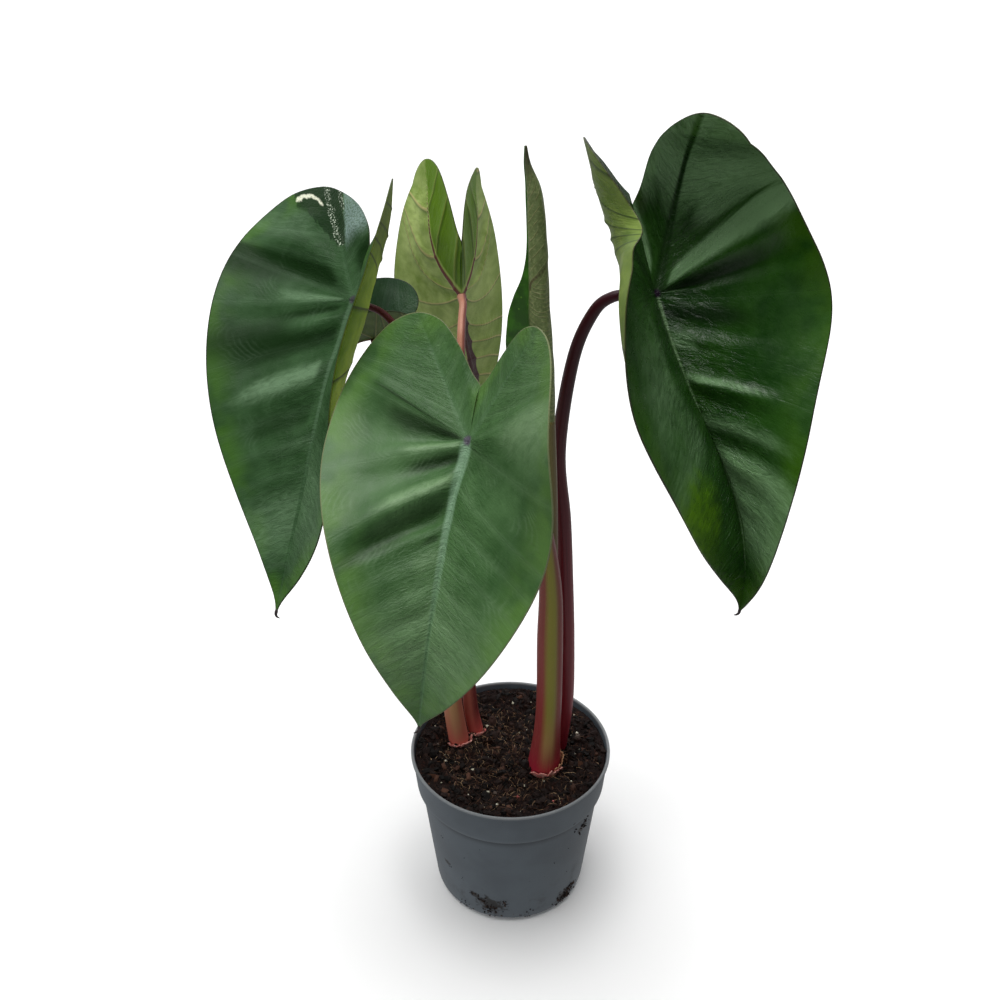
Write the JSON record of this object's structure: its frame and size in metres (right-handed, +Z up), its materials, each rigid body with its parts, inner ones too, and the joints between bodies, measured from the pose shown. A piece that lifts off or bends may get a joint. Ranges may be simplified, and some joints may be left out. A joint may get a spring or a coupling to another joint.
{
  "type": "potted elephant ear plant",
  "caption": "Aroid house plant with large heart-shaped drooping leaves and a rolled new leaf on red fleshy stalks, standing in peat in a round nursery pot.",
  "frame": {"origin": "centre of the flat underside of the pot", "axes": "+Z up along the pot, -Y towards the side with the front leaf, +X towards the tall right leaf"},
  "size_m": [0.3041, 0.276, 0.4892],
  "materials": {
    "pot_plastic": "matte slate grey moulded plastic, paler on the lip",
    "peat": "loose dark brown peat with fibres and white grains",
    "leaf_glossy": "very dark green, glossy",
    "leaf_dull": "mid green, dull, with yellow green edges",
    "leaf_underside": "yellow green leaf underside with pinkish brown ribs",
    "leaf_rolled": "brownish olive green, matte",
    "stalk_maroon": "dark maroon, satin",
    "stalk_red": "dusky red with an olive green stripe, satin",
    "sheath_paper": "dry tan papery sheath"
  },
  "bodies": {
    "root": {"pot": "pot_plastic", "peat": "peat", "blade_right": "leaf_glossy", "blade_front": "leaf_dull", "blade_left": "leaf_glossy", "blade_back": "leaf_underside", "blade_rear": "leaf_glossy", "rolled_leaf": "leaf_rolled", "stalk_right": "stalk_maroon", "stalk_front": "stalk_red", "stalk_left": "stalk_red", "stalk_back": "stalk_red", "stalk_rear": "stalk_red", "sheath_remnant": "sheath_paper"}
  },
  "joints": []
}
